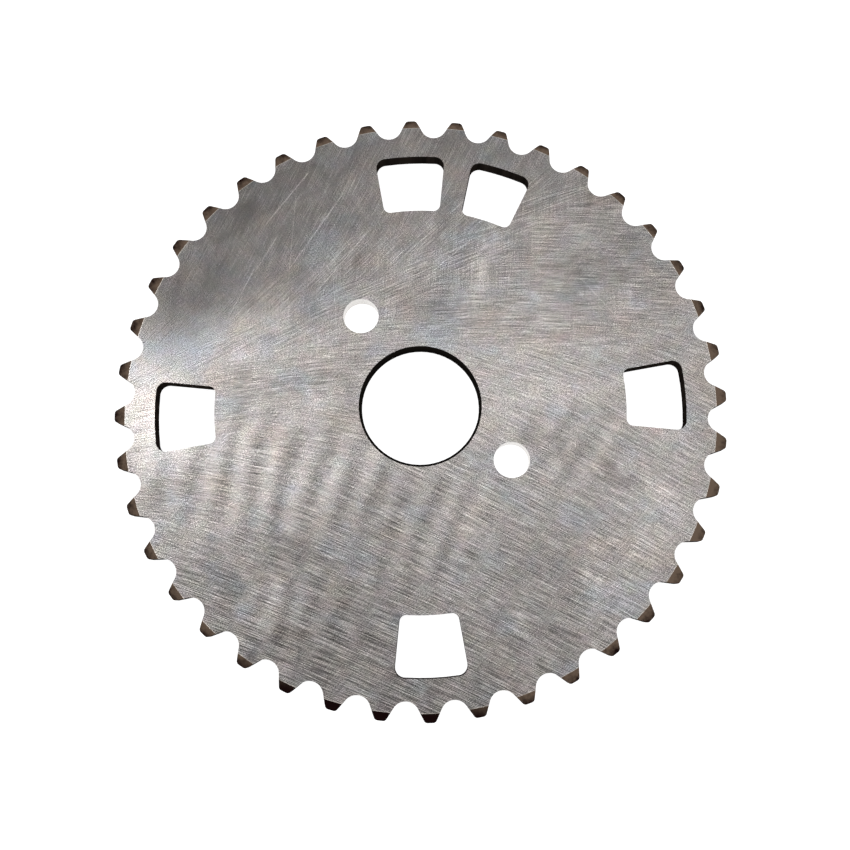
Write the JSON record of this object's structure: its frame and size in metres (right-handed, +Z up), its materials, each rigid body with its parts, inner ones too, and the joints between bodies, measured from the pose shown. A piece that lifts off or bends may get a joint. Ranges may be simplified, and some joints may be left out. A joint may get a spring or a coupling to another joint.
{
  "type": "camshaft gear",
  "caption": "Flat steel chain wheel for a camshaft, with a plain chamfered bore, two bolt holes and angular windows near its toothed rim.",
  "frame": {"origin": "on the bore axis, at the lower face, which the plate rests on", "axes": "+Z up along the bore axis, +X through the middle of one window and +Y through the middle of the next"},
  "size_m": [0.1244, 0.1244, 0.0035],
  "materials": {
    "ground_steel": "flat-ground steel with fine scratches, dark hardening scale left on the tooth bevels, the bore's chamfer and the window walls"
  },
  "bodies": {
    "root": {"camshaft_gear": "ground_steel"}
  },
  "joints": []
}
